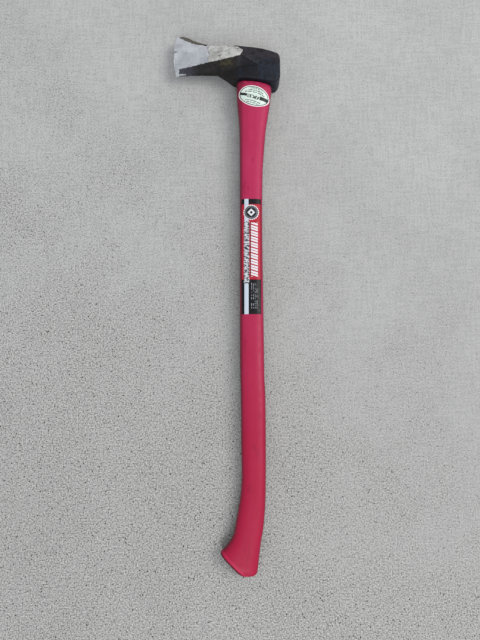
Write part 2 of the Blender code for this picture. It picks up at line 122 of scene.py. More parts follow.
# Handle, from the shoulder to the knob: front edge x, y; back edge x, y; half thickness; roundness.
HANDLE_RAILS = [
    (-0.0262, -0.0253, 0.0284, -0.0323, 0.0150, 2.4),
    (-0.0284, -0.0261, 0.0300, -0.0336, 0.0170, 2.6),
    (-0.0293, -0.0292, 0.0308, -0.0378, 0.0180, 2.7),
    (-0.0290, -0.0470, 0.0296, -0.0500, 0.0175, 2.7),
    (-0.0282, -0.0645, 0.0275, -0.0655, 0.0167, 2.7),
    (-0.0261, -0.0865, 0.0245, -0.0865, 0.0157, 2.8),
    (-0.0245, -0.1095, 0.0209, -0.1095, 0.0149, 2.8),
    (-0.0242, -0.139, 0.0182, -0.139, 0.0141, 2.8),
    (-0.0240, -0.190, 0.0151, -0.190, 0.0134, 2.8),
    (-0.0237, -0.275, 0.0143, -0.275, 0.0130, 2.8),
    (-0.0237, -0.428, 0.0160, -0.428, 0.0132, 2.8),
    (-0.0231, -0.528, 0.0172, -0.528, 0.0136, 2.7),
    (-0.0220, -0.568, 0.0187, -0.568, 0.0138, 2.7),
    (-0.0214, -0.640, 0.0191, -0.640, 0.0140, 2.6),
    (-0.0206, -0.690, 0.0189, -0.691, 0.0140, 2.6),
    (-0.0224, -0.720, 0.0184, -0.723, 0.0141, 2.6),
    (-0.0263, -0.744, 0.0170, -0.750, 0.0143, 2.6),
    (-0.0300, -0.765, 0.0144, -0.776, 0.0145, 2.6),
    (-0.0336, -0.7835, 0.0106, -0.797, 0.0148, 2.7),
    (-0.0398, -0.7955, 0.0084, -0.814, 0.0150, 2.8),
    (-0.0460, -0.8035, 0.0066, -0.830, 0.0150, 2.8),
    (-0.0512, -0.8085, 0.0044, -0.8440, 0.0150, 2.8),
    (-0.0546, -0.8118, -0.0010, -0.8490, 0.0148, 2.8),
    (-0.0551, -0.8132, -0.0085, -0.8500, 0.0145, 2.8),
    (-0.0548, -0.8143, -0.0160, -0.8500, 0.0140, 2.8),
    (-0.0539, -0.8155, -0.0207, -0.8487, 0.0130, 2.8),
]
HANDLE_STEP, HANDLE_SIDES = 0.003, 72
WORN_TOP_Y, WORN_FADE = -0.034, 0.01  # below the head, hands have worn the handle a little uneven

# Wedges, driven into the top of the tenon.
WEDGE_TOP, WEDGE_TIP, WEDGE_LENGTH = 0.0064, 0.0012, 0.0520
WEDGE_TIP_Y = -0.014
STEEL_WEDGES = {"steel_wedge_front": -0.009, "steel_wedge_rear": 0.014}
STEEL_WIDTH, STEEL_TOP, STEEL_TIP, STEEL_DEPTH = 0.0190, 0.0036, 0.0010, 0.0240
STEEL_BARBS, BARB_STEP = 4, 0.0004
KERF_LENGTH, CUT_RISE = 0.070, 0.010  # the cuts that the wedges sit in run past the tenon and above it
WEDGE_CORNER, STEEL_CORNER = 0.0004, 0.0003
STRUCK_DEPTH = 0.0008  # how far below a sawn or struck top its marks reach
SAW_MARKS, WEDGE_DENTS, TOP_DENTS = 0.00006, 0.00004, 0.00012

OVAL_CENTRE, OVAL_WIDTH, OVAL_HEIGHT, OVAL_TURN = (0.0005, -0.0555), 0.0530, 0.0348, math.radians(-16)
STRIP_LEFT, STRIP_RIGHT, STRIP_TOP, STRIP_BOTTOM = -0.0212, 0.0118, -0.2322, -0.4264
LABEL_GAP, LABEL_THICKNESS = 0.00012, 0.00015
SURFACE_STEP = 0.0004  # for finding the slope under a label
OVAL_RIM, OVAL_LINE = 0.0014, 0.0013  # widths of the white rim and of the dark line inside it
# Print on the long label, x from its left edge and y down from its top edge.
STRIPE = (0.0052, 0.0120)
HEAD_BLOCK_END, FOOT_BLOCK_START = 0.0089, 0.1363
BARS_X, BARS_Y, BAR_PITCH, BAR_SLANT = (0.0160, 0.0274), (0.0405, 0.1318), 0.0048, -0.30
BADGE_AT, BADGE_RADIUS = (0.0166, 0.0230), 0.0127

CAMERA_FROM_EYE = (-0.0235, -0.513)
CAMERA_HEIGHT, CAMERA_PITCH, CAMERA_LENS = 0.91, math.radians(5.0), 30.0
FLOOR_SIZE = 12.0
# name, place, size of the disc, watts, colour
LIGHTS = [("soft_key", (3.4, 0.3, 4.0), 3.2, 128.0, (1.0, 0.98, 0.95)),
          ("soft_front", (0.4, -3.0, 3.4), 2.4, 60.0, (0.96, 0.98, 1.0))]
SKY_COLOUR, SKY_STRENGTH = (0.93, 0.96, 1.0, 1.0), 0.50


# ---------------- curves and frames


def smooth_curve(points):
    """A function through the points, cubic between them, that never overshoots."""
    xs, ys = (np.array(column, float) for column in zip(*points))
    slopes = np.diff(ys) / np.diff(xs)
    tangents = np.concatenate([slopes[:1], np.zeros(len(xs) - 2), slopes[-1:]])
    for i in range(1, len(xs) - 1):
        if slopes[i - 1] * slopes[i] > 0:
            tangents[i] = 2 / (1 / slopes[i - 1] + 1 / slopes[i])

    def value(x):
        i = int(np.clip(np.searchsorted(xs, x) - 1, 0, len(xs) - 2))
        width = xs[i + 1] - xs[i]
        t = (min(max(x, xs[0]), xs[-1]) - xs[i]) / width
        return ((1 + 2 * t) * (1 - t) ** 2 * ys[i] + t * (1 - t) ** 2 * width * tangents[i]
                + t * t * (3 - 2 * t) * ys[i + 1] + t * t * (t - 1) * width * tangents[i + 1])

    return value


def straight_lines(points):
    xs, ys = zip(*points)
    return lambda x: float(np.interp(x, xs, ys))


def mount(name):
    return next(m for m in frame["record"]["mounts"] if m["name"] == name)


def find_tool_frame():
    hook, poll = mount("hook_face"), mount("poll_face")
    up = -Vector(hook["axis"]).normalized()
    back = Vector(poll["axis"])
    back = (back - back.dot(up) * up).normalized()
    turn = Matrix((back, up, back.cross(up))).transposed().to_4x4()
    origin = Vector(hook["pos_m"]) - turn @ Vector((HOOK_X, UNDERSIDE_Y, 0))
    return Matrix.Translation(origin) @ turn


TOOL = find_tool_frame()


# ---------------- meshes


def store(mesh, name, values):
    """Keeps one number or one vector for each vertex, for the materials to read."""
    values = np.asarray(values, np.float32)
    kind, key = ("FLOAT_VECTOR", "vector") if values.ndim == 2 else ("FLOAT", "value")
    layer = mesh.attributes.new(name, kind, "POINT")
    layer.data.foreach_set(key, values.ravel())


def add_piece(name, points, faces, place, material, fields=None):
    """A mesh piece from points in the frame place. The material reads those points as the field "at"."""
    points = np.asarray(points, float)
    mesh = bpy.data.meshes.new(name)
    mesh.from_pydata(points.tolist(), [], faces)
    store(mesh, "at", points)
    for key, values in (fields or {}).items():
        store(mesh, key, values)
    build = bmesh.new()
    build.from_mesh(mesh)
    bmesh.ops.recalc_face_normals(build, faces=build.faces)
    build.to_mesh(mesh)
    build.free()
    mesh.transform(place)
    obj = bpy.data.objects.new(name, mesh)
    bpy.context.scene.collection.objects.link(obj)
    if material:
        mesh.materials.append(material)
    return obj


def finish_piece(obj, node, sharp_angle=SHARP_ANGLE):
    obj.data.shade_smooth()
    obj.data.set_sharp_from_angle(angle=math.radians(sharp_angle))
    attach(obj, "root")
    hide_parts(node)


def loft_faces(rings, sides):
    faces = []
    for first in range(0, (rings - 1) * sides, sides):
        for i in range(sides):
            after = (i + 1) % sides
            faces.append((first + i, first + after, first + sides + after, first + sides + i))
    return faces


def fan_faces(first, sides, tip):
    return [(first + i, first + (i + 1) % sides, tip) for i in range(sides)]


def superellipse(angle, half_width, half_height, roundness):
    power = 2 / roundness
    c, s = math.cos(angle), math.sin(angle)
    return (math.copysign(abs(c) ** power, c) * half_width, math.copysign(abs(s) ** power, s) * half_height)


def ripple(point, size, seed):
    """Smooth noise from about -1 to 1, whose humps are about size across."""
    return noise.noise(Vector(point) / size + Vector((seed, 0.37 * seed, -1.3 * seed)))


def uneven(point, layers):
    return sum(amount * ripple(point, size, seed) for amount, size, seed in layers)


def push(obj, amount):
    """Moves each vertex along its normal by its own amount."""
    mesh = obj.data
    points = np.zeros(len(mesh.vertices) * 3)
    normals = np.zeros(len(mesh.vertices) * 3)
    mesh.vertices.foreach_get("co", points)
    mesh.vertices.foreach_get("normal", normals)
    points = points.reshape(-1, 3) + normals.reshape(-1, 3) * np.asarray(amount)[:, None]
    mesh.vertices.foreach_set("co", points.ravel())
    mesh.update()


def closed_loft(rings, start_caps, end_caps):
    """Points and faces of a loft whose ends are closed by rings of these sizes round a middle point."""
    rings = [np.array(ring) for ring in rings]
    first, last = rings[0].mean(axis=0), rings[-1].mean(axis=0)
    rings = ([first + (rings[0] - first) * f for f in start_caps] + rings
             + [last + (rings[-1] - last) * f for f in end_caps])
    count, sides = len(rings), len(rings[0])
    faces = loft_faces(count, sides) + fan_faces(0, sides, count * sides)
    faces += fan_faces((count - 1) * sides, sides, count * sides + 1)
    return np.concatenate(rings + [[first, last]]), faces


def cut_away(obj, cutter):
    """Takes the cutter out of obj for good, and removes the cutter."""
    modifier = obj.modifiers.new("cut", "BOOLEAN")
    modifier.operation = "DIFFERENCE"
    modifier.solver = "EXACT"
    modifier.object = cutter
    bpy.context.view_layer.update()
    done = bpy.data.meshes.new_from_object(obj.evaluated_get(bpy.context.evaluated_depsgraph_get()))
    obj.modifiers.clear()
    old = obj.data
    obj.data = done
    bpy.data.meshes.remove(old)
    bpy.data.objects.remove(cutter)


# ---------------- head


class HeadShape:
    """The head's outline and thickness as functions of the station along it."""

    def __init__(self):
        self.top, self.bottom = smooth_curve(TOP_LINE), straight_lines(BOTTOM_LINE)
        self.ridge, self.valley = straight_lines(RIDGE_LINE), straight_lines(VALLEY_LINE)
        self.valley_depth, self.bottom_depth = smooth_curve(VALLEY_DEPTH), smooth_curve(BOTTOM_DEPTH)
        self.top_edge, self.bottom_edge = straight_lines(TOP_EDGE), straight_lines(BOTTOM_EDGE)

    def x(self, station, y):
        arc = BIT_RADIUS - math.sqrt(BIT_RADIUS ** 2 - (y - BIT_Y) ** 2)
        return station + arc * np.interp(station, (BIT_X, ARC_END), (1, 0))

    def upper_cheek(self, station, y):
        back = station - BIT_X
        bevel = BIT_LAND + BEVEL_SLOPE * back
        wedge = WEDGE_RISE + WEDGE_SLOPE * back
        taper = POLL_TAPER * max(0.0, (station - TAPER_X) / (POLL_X - TAPER_X)) ** 2
        return min(bevel, wedge, HALF_THICKNESS - taper - CROWN * min(0.0, y - CROWN_Y) ** 2)

    def depth(self, station, y):
        ridge, valley, bottom = self.ridge(station), self.valley(station), self.bottom(station)
        cheek = self.upper_cheek(station, y)
        if y >= ridge:
            return cheek
        depths = (min(self.bottom_depth(station), self.upper_cheek(station, bottom)),
                  min(self.valley_depth(station), self.upper_cheek(station, valley)),
                  self.upper_cheek(station, ridge))
        return min(cheek, float(np.interp(y, (bottom, valley, ridge), depths)))

    def ring(self, station, inset=0.0):
        top, bottom = self.top(station) - inset, self.bottom(station) + inset
        ridge, valley = self.ridge(station), self.valley(station)
        top_edge, bottom_edge = self.top_edge(station), self.bottom_edge(station)
        heights = np.concatenate([np.linspace(bottom + bottom_edge, valley, FOOT_POINTS),
                                  np.linspace(valley, ridge, RELIEF_POINTS)[1:],
                                  np.linspace(ridge, top - top_edge, CHEEK_POINTS)[1:]])
        cheek = [(y, self.depth(station, y) - inset) for y in heights]
        below = rounded_edge(cheek[0], bottom_edge, -1)
        above = rounded_edge(cheek[-1], top_edge, 1)
        near = [(self.x(station, y), y, z) for y, z in below[::-1] + cheek + above]
        return near + [(x, y, -z) for x, y, z in reversed(near)]


def rounded_edge(end, size, way):
    """Points that round the cheek's end over, upwards for way 1 and downwards for way -1."""
    y, depth = end
    drop = min(size, ROUNDED_SHARE * depth)
    return [(y + way * size * math.sin(a), depth - drop * (1 - math.cos(a))) for a in CORNER_ANGLES]


def relax(rings, times):
    """Rounds the creases a little, and leaves the cutting edge alone."""
    for _ in range(times):
        around = (np.roll(rings, 1, axis=1) + np.roll(rings, -1, axis=1)) / 2
        along = rings.copy()
        along[1:-1] = (rings[:-2] + rings[2:]) / 2
        softer = 0.5 * rings + 0.25 * around + 0.25 * along
        rings[EDGE_RINGS:] = softer[EDGE_RINGS:]
    return rings


def bare_field(shape, x, y):
    """Metres inside the worn bare metal, below zero where the black finish is left."""
    upper = float(np.interp(x, *zip(*BARE_TOP))) + shape.top(x)
    slant = BARE_NORMAL[0] * (x - BARE_CORNER[0]) + BARE_NORMAL[1] * (y - BARE_CORNER[1])
    cheek = min(y - shape.ridge(min(x, APEX_X)), BARE_BACK_X - x, slant, upper - y)
    heel = min(HEEL_X - x, HEEL_Y - y, y - shape.bottom(x) - HEEL_RIM)
    return max(cheek, EDGE_BAND_X - x, heel)


def crease_field(shape, x, y):
    """Metres above the V-shaped crease of the relief, below zero inside it, and far away elsewhere."""
    if not NOTCH_START < x < NOTCH_END:
        return FAR
    ridge, valley = y - shape.ridge(x), y - shape.valley(x)
    return ridge if abs(ridge) < abs(valley) else -abs(valley)


def build_head():
    shape = HeadShape()
    stations = list(np.arange(BIT_X, POLL_X - POLL_CORNER, HEAD_STEP))
    rings = [shape.ring(s) for s in stations]
    for angle in np.radians((0, 15, 30, 45, 60, 75, 90)):
        inset = POLL_CORNER * (1 - math.cos(angle))
        rings.append(shape.ring(POLL_X - POLL_CORNER * (1 - math.sin(angle)), inset))
    rings = relax(np.array(rings), 3)
    middle = rings[-1].mean(axis=0)
    face = [middle + (rings[-1] - middle) * f for f in np.linspace(0.95, 0.08, 18)]
    rings = np.concatenate([rings, face])
    count, sides = rings.shape[:2]
    points = np.concatenate([rings.reshape(-1, 3), [middle]])
    # Nicks in the edge, and the dull dents of years of use.
    for i, (x, y, z) in enumerate(points):
        back = x - BIT_X
        if back < EDGE_REACH:
            fade = (1 - back / EDGE_REACH) ** 2
            nick = sum(depth * math.exp(-((y - place) / half) ** 2) for place, half, depth in EDGE_NICKS)
            points[i][0] += fade * (EDGE_SET_BACK + nick + uneven((0, y, 0), EDGE_WEAR))
    edge_strip = [(i, i + 1, sides - 2 - i, sides - 1 - i) for i in range(sides // 2 - 1)]
    faces = loft_faces(count, sides) + edge_strip + fan_faces((count - 1) * sides, sides, count * sides)
    bare = np.array([bare_field(shape, x, y) for x, y, z in points])
    crease = [crease_field(shape, x, y) for x, y, z in points]
    head = add_piece("splitting_head", points, faces, TOOL, head_material(), {"bare": bare, "crease": crease})
    forged = np.clip(-bare / SKIN_FADE, 0, 1)
    amount = []
    for (x, y, z), f in zip(points, forged):
        p = (x, y, z)
        rough = uneven(p, FORGED_SKIN)
        worn = uneven(p, WORN_METAL) + uneven((x, 3 * y, z), WORN_LINES)
        pein = np.clip((x - PEIN_X) / PEIN_FADE, 0, 1) * min(0.0, uneven(p, PEIN_DENTS))
        thin = np.clip((x - THIN_X) / THIN_FADE, 0, 1)
        amount.append(thin * (f * rough + (1 - f) * worn) + pein - HEAD_SINK)
    push(head, amount)
    cut_away(head, eye_shape())
    finish_piece(head, "axe_head", 40)


def eye_curves():
    """The eye's half length and half width as functions of y."""
    return smooth_curve([row[:2] for row in EYE]), smooth_curve([(row[0], row[2]) for row in EYE])


def eye_shape():
    """What the eye takes out of the head. Its walls keep the black finish."""
    lengths, widths = eye_curves()
    count, sides, rings = 12, HANDLE_SIDES, []
    for y in np.linspace(EYE[0][0], EYE[-1][0], count):
        for i in range(sides):
            x, z = superellipse(2 * math.pi * i / sides, lengths(y), widths(y), EYE_ROUNDNESS)
            rings.append((EYE_X + x, y, z))
    faces = loft_faces(count, sides) + [tuple(range(sides)), tuple(range(len(rings) - sides, len(rings)))]
    return add_piece("eye_shape", rings, faces, TOOL, None, {"bare": np.full(len(rings), -0.01)})


# ---------------- handle


def tenon_rails():
    """Rows like those of HANDLE_RAILS that follow the eye, from the tenon's top to the handle's shoulder."""
    lengths, widths = eye_curves()
    underside = straight_lines([UNDERSIDE_FRONT, UNDERSIDE_BACK])
    mouth, rows = EYE[0][1], []
    shoulder = (underside(EYE_X - mouth) - FIT_GAP, underside(EYE_X + mouth) - FIT_GAP)
    for front_y, back_y in TENON_ROWS + [shoulder]:
        middle = (front_y + back_y) / 2
        half_length, half_width = lengths(middle) - FIT_GAP, widths(middle) - FIT_GAP
        rows.append((EYE_X - half_length, front_y, EYE_X + half_length, back_y, half_width, EYE_ROUNDNESS))
    return rows


class HandleShape:
    """The handle's section as a function of the way along its middle, from the tenon's top to the knob."""

    def __init__(self):
        rails = np.array(tenon_rails() + HANDLE_RAILS)
        middles = (rails[:, 0:2] + rails[:, 2:4]) / 2
        self.way = np.concatenate([[0], np.cumsum(np.linalg.norm(np.diff(middles, axis=0), axis=1))])
        self.curves = [smooth_curve(list(zip(self.way, column))) for column in rails.T]
        self.alongs = np.linspace(0, self.way[-1], 900)
        self.heights = [-(self.curves[1](a) + self.curves[3](a)) / 2 for a in self.alongs]

    def ring(self, along, sides):
        front_x, front_y, back_x, back_y, half_thickness, roundness = (curve(along) for curve in self.curves)
        middle = np.array(((front_x + back_x) / 2, (front_y + back_y) / 2, 0))
        across = np.array(((back_x - front_x) / 2, (back_y - front_y) / 2, 0))
        ring = []
        for i in range(sides):
            u, z = superellipse(2 * math.pi * i / sides, 1.0, half_thickness, roundness)
            ring.append(middle + across * u + np.array((0, 0, z)))
        return np.array(ring)

    def top(self, x, y):
        """The point of the upper face at x, y."""
        along = float(np.interp(-y, self.heights, self.alongs))
        front_x, _, back_x, _, half_thickness, roundness = (curve(along) for curve in self.curves)
        u = min(1.0, abs((x - (front_x + back_x) / 2) / ((back_x - front_x) / 2)))
        return Vector((x, y, half_thickness * (1 - u ** roundness) ** (1 / roundness)))


def build_handle(shape):
    stations = []
    for start, end in zip(shape.way[:-1], shape.way[1:]):
        pieces = max(1, round((end - start) / HANDLE_STEP))
        stations += list(np.linspace(start, end, pieces + 1)[:-1])
    stations.append(shape.way[-1])
    rings = [shape.ring(along, HANDLE_SIDES) for along in stations]
    points, faces = closed_loft(rings, (0.1, 0.35, 0.6, 0.8, 0.93), (0.97, 0.9, 0.75, 0.5, 0.25, 0.08))
    tip, toe = np.array(HANDLE_RAILS[-1][:2]), np.array(HANDLE_RAILS[-1][2:4])
    inward = np.array((tip[1] - toe[1], toe[0] - tip[0])) / np.linalg.norm(toe - tip)
    foot = (points[:, :2] - tip) @ inward
    handle = add_piece("lacquered_handle", points, faces, TOOL, handle_material(), {"foot": foot})
    amount = []
    for x, y, z in points:
        hand_worn = 0.00012 * ripple((x, 0.25 * y, z), 0.012, 11)
        held = np.clip((WORN_TOP_Y - y) / WORN_FADE, 0, 1)
        saw_marks = SAW_MARKS * near_top(x, y) * (ripple((x, 0.0, 0.2 * z), 0.0016, 12) - 1)
        amount.append(held * hand_worn + saw_marks - HANDLE_SINK)
    push(handle, amount)
    cut_away(handle, kerf_cutter())
    for name, x in STEEL_WEDGES.items():
        cut_away(handle, slot_cutter(name + "_slot", x))
    finish_piece(handle, "handle", 32)


# ---------------- wedges


def tenon_top(x):
    reach = EYE[-1][1] - FIT_GAP
    return float(np.interp(x, (EYE_X - reach, EYE_X + reach), (TENON_FRONT_Y, TENON_BACK_Y)))


def near_top(x, y):
    """1 at the tenon's top, fading to 0 below it."""
    return float(np.clip((y - tenon_top(x)) / STRUCK_DEPTH + 1, 0, 1))


def wood_half(y):
    taper = (WEDGE_TOP - WEDGE_TIP) / (tenon_top(EYE_X) - WEDGE_TIP_Y)
    return (WEDGE_TIP + taper * (y - WEDGE_TIP_Y)) / 2


def steel_half(x, y):
    return (STEEL_TOP + (STEEL_TOP - STEEL_TIP) * (y - tenon_top(x)) / STEEL_DEPTH) / 2


def add_block(name, corners):
    """A block from the four corners of one face and the four opposite them."""
    return add_piece(name, corners, loft_faces(2, 4) + [(0, 1, 2, 3), (4, 5, 6, 7)], TOOL, None)


def kerf_cutter():
    """The sawn slot for the wooden wedge."""
    tip, corners = WEDGE_TIP_Y - FIT_GAP, []
    for x in (EYE_X - KERF_LENGTH / 2, EYE_X + KERF_LENGTH / 2):
        top = tenon_top(x) + CUT_RISE
        half_tip, half_top = wood_half(WEDGE_TIP_Y) + FIT_GAP, wood_half(top) + FIT_GAP
        corners += [(x, tip, -half_tip), (x, top, -half_top), (x, top, half_top), (x, tip, half_tip)]
    return add_block("kerf", corners)


def slot_cutter(name, x):
    """The slot for the steel wedge at x."""
    top, tip = tenon_top(x) + CUT_RISE, tenon_top(x) - STEEL_DEPTH - FIT_GAP
    half_tip, half_top, half_width = (steel_half(x, tip) + FIT_GAP, steel_half(x, top) + FIT_GAP,
                                      STEEL_WIDTH / 2 + FIT_GAP)
    outline = [(x + half_tip, tip), (x + half_top, top), (x - half_top, top), (x - half_tip, tip)]
    return add_block(name, [(px, py, z) for z in (-half_width, half_width) for px, py in outline])


def box_ring(half_x, half_z, corner, pieces_x, pieces_z):
    """Points round a rectangle with rounded corners, evenly spaced along its sides."""
    xs = np.linspace(-half_x, half_x, pieces_x + 1)[:-1]
    zs = np.linspace(-half_z, half_z, pieces_z + 1)[:-1]
    sharp = ([(x, -half_z) for x in xs] + [(half_x, z) for z in zs]
             + [(-x, half_z) for x in xs] + [(-half_x, -z) for z in zs])
    ring = []
    for x, z in sharp:
        inner_x = float(np.clip(x, corner - half_x, half_x - corner))
        inner_z = float(np.clip(z, corner - half_z, half_z - corner))
        reach = math.hypot(x - inner_x, z - inner_z)
        ring.append((inner_x + (x - inner_x) * corner / reach, inner_z + (z - inner_z) * corner / reach))
    return ring


def add_wedge(name, rings, seed, material, node, crossed_by=()):
    """A closed wedge from its tip to its struck top, with small dents that are deeper on the top."""
    caps = (0.2, 0.4, 0.6, 0.8, 0.93)
    points, faces = closed_loft(rings, caps, caps[::-1])
    wedge = add_piece(name, points, faces, TOOL, material)
    amount = []
    for x, y, z in points:
        deep = WEDGE_DENTS + TOP_DENTS * near_top(x, y)
        amount.append(-deep * (1 + ripple((x, 0.4 * y, z), 0.0022, seed)))
    push(wedge, amount)
    for x in crossed_by:
        cut_away(wedge, slot_cutter("crossing", x))
    finish_piece(wedge, node)


def wooden_wedge_rings():
    rings = []
    middle_rise = tenon_top(EYE_X) - WEDGE_TIP_Y
    for t in np.linspace(0, 1, 48):
        half = wood_half(WEDGE_TIP_Y + t * middle_rise)
        ring = []
        for x, z in box_ring(WEDGE_LENGTH / 2, half, WEDGE_CORNER, 52, 6):
            y = WEDGE_TIP_Y + t * (tenon_top(EYE_X + x) - WEDGE_TIP_Y)
            ring.append((EYE_X + x, y, z * wood_half(y) / half))
        rings.append(ring)
    return rings


def steel_wedge_rings(x):
    tooth = STEEL_DEPTH / (STEEL_BARBS + 1)
    tip, rings = tenon_top(x) - STEEL_DEPTH, []
    for rise in np.linspace(0, STEEL_DEPTH, 61):
        past = rise % tooth
        cut_back = min(past, BARB_STEP * (tooth - past) / (tooth - BARB_STEP)) if rise > tooth else 0.0
        half = steel_half(x, tip + rise) - cut_back
        ring = box_ring(half, STEEL_WIDTH / 2, STEEL_CORNER, 6, 28)
        rings.append([(x + px, tip + rise, z) for px, z in ring])
    return rings


# ---------------- labels


def add_label(name, columns, rows, place, handle, material, node):
    """A thin skin just above the handle. place(u, v) gives tool x and y, and the label's own x and y."""
    layers, prints = [], []
    for lift in (LABEL_GAP, LABEL_GAP + LABEL_THICKNESS):
        for j in range(rows + 1):
            for i in range(columns + 1):
                (x, y), own = place(2 * i / columns - 1, 2 * j / rows - 1)
                here = handle.top(x, y)
                aside = handle.top(x + SURFACE_STEP, y) - handle.top(x - SURFACE_STEP, y)
                ahead = handle.top(x, y + SURFACE_STEP) - handle.top(x, y - SURFACE_STEP)
                layers.append(here + aside.cross(ahead).normalized() * lift)
                prints.append((*own, 0))
    wide, count = columns + 1, (columns + 1) * (rows + 1)
    faces = []
    for layer in (0, count):
        faces += [(layer + j * wide + i, layer + j * wide + i + 1,
                   layer + (j + 1) * wide + i + 1, layer + (j + 1) * wide + i)
                  for j in range(rows) for i in range(columns)]
    rim = ([i for i in range(columns)] + [j * wide + columns for j in range(rows)]
           + [rows * wide + i for i in range(columns, 0, -1)] + [j * wide for j in range(rows, 0, -1)])
    faces += [(a, b, b + count, a + count) for a, b in zip(rim, rim[1:] + rim[:1])]
    label = add_piece(name, layers, faces, TOOL, material, {"print": prints})
    finish_piece(label, node, 60)


def oval_place(u, v):
    x = u * math.sqrt(1 - v * v / 2) * OVAL_WIDTH / 2
    y = v * math.sqrt(1 - u * u / 2) * OVAL_HEIGHT / 2
    c, s = math.cos(OVAL_TURN), math.sin(OVAL_TURN)
    return (OVAL_CENTRE[0] + x * c - y * s, OVAL_CENTRE[1] + x * s + y * c), (x, y)


def strip_place(u, v):
    x = float(np.interp(u, (-1, 1), (STRIP_LEFT, STRIP_RIGHT)))
    y = float(np.interp(v, (-1, 1), (STRIP_BOTTOM, STRIP_TOP)))
    return (x, y), (x - STRIP_LEFT, STRIP_TOP - y)


# ---------------- materials


def srgb(r, g, b):
    """A linear colour from 0-255 screen values."""
    values = [v / 255 for v in (r, g, b)]
    return tuple(v / 12.92 if v <= 0.04045 else ((v + 0.055) / 1.055) ** 2.4 for v in values)


class Paint:
    """A material and short names for the nodes that it is made of. Values are numbers, colours or sockets."""

    def __init__(self, name):
        self.material = bpy.data.materials.new(name)
        self.material.use_nodes = True
        self.tree = self.material.node_tree
        self.shader = self.tree.nodes["Principled BSDF"]

    def feed(self, socket, value):
        if isinstance(value, bpy.types.NodeSocket):
            self.tree.links.new(value, socket)
        elif isinstance(value, tuple) and len(value) == 3 and socket.type == "RGBA":
            socket.default_value = (*value, 1.0)
        else:
            socket.default_value = value

    def node(self, kind, inputs=(), **settings):
        node = self.tree.nodes.new(kind)
        for key, value in settings.items():
            setattr(node, key, value)
        for key, value in dict(inputs).items():
            self.feed(node.inputs[key], value)
        return node

    def set(self, **values):
        for key, value in values.items():
            self.feed(self.shader.inputs[key.replace("_", " ")], value)

    def field(self, name):
        """A stored number, or a stored place as its x, y, z and the vector itself."""
        node = self.node("ShaderNodeAttribute", attribute_name=name)
        return node.outputs["Fac"], node.outputs["Vector"]

    def axes(self, vector):
        node = self.node("ShaderNodeSeparateXYZ", {0: vector})
        return node.outputs[0], node.outputs[1], node.outputs[2]

    def math(self, operation, a, b=0.0, c=0.0):
        return self.node("ShaderNodeMath", {0: a, 1: b, 2: c}, operation=operation).outputs[0]

    def add(self, a, b):
        return self.math("ADD", a, b)

    def sub(self, a, b):
        return self.math("SUBTRACT", a, b)

    def mul(self, a, b):
        return self.math("MULTIPLY", a, b)

    def largest(self, a, b):
        return self.math("MAXIMUM", a, b)

    def length(self, a, b):
        return self.math("SQRT", self.add(self.mul(a, a), self.mul(b, b)))

    def distance(self, vector, place, x=1.0, y=1.0):
        """How far from a place in the x-y plane, with x and y stretched by these factors."""
        px, py, _ = self.axes(vector)
        return self.length(self.mul(self.sub(px, place[0]), x), self.mul(self.sub(py, place[1]), y))

    def jitter(self, value, vector, size, amount, detail=3.0):
        """The value, moved up and down by noise."""
        return self.add(value, self.mul(self.sub(self.noise(vector, size, detail), 0.5), amount))

    def ramp(self, value, low, high, to_low=0.0, to_high=1.0):
        return self.node("ShaderNodeMapRange", {0: value, 1: low, 2: high, 3: to_low, 4: to_high},
                         interpolation_type="SMOOTHSTEP").outputs[0]

    def within(self, value, low, high, soft=0.00012):
        """1 where the value is between low and high, with an edge as wide as soft."""
        return self.mul(self.ramp(value, low - soft / 2, low + soft / 2),
                        self.ramp(value, high - soft / 2, high + soft / 2, 1.0, 0.0))

    def stretch(self, vector, x, y, z):
        return self.node("ShaderNodeMapping", {0: vector, "Scale": (x, y, z)}).outputs[0]

    def noise(self, vector, size, detail=3.0, rough=0.55):
        """Cloudy noise from about 0.25 to 0.75, whose humps are about size metres."""
        return self.node("ShaderNodeTexNoise", {"Vector": vector, "Scale": 1 / size, "Detail": detail,
                                                "Roughness": rough}).outputs[0]

    def cells(self, vector, size):
        """The distance to the nearest of many scattered points about size metres apart, in sizes."""
        return self.node("ShaderNodeTexVoronoi", {"Vector": vector, "Scale": 1 / size}).outputs[0]

    def mix_numbers(self, amount, first, second):
        return self.node("ShaderNodeMix", {0: amount, 2: first, 3: second}).outputs[0]

    def mix(self, amount, first, second):
        node = self.node("ShaderNodeMix", data_type="RGBA")
        self.feed(node.inputs[0], amount)
        self.feed(node.inputs[6], first)
        self.feed(node.inputs[7], second)
        return node.outputs[2]

    def lay(self, colour, over, amount, share=1.0):
        """Lays screen values over a colour: by amount, a field from 0 to 1, times share."""
        return self.mix(self.mul(amount, share) if share < 1 else amount, colour, srgb(*over))

    def bump(self, height, distance, under=None, strength=1.0):
        node = self.node("ShaderNodeBump", {"Height": height, "Distance": distance, "Strength": strength})
        if under:
            self.feed(node.inputs["Normal"], under)
        return node.outputs[0]


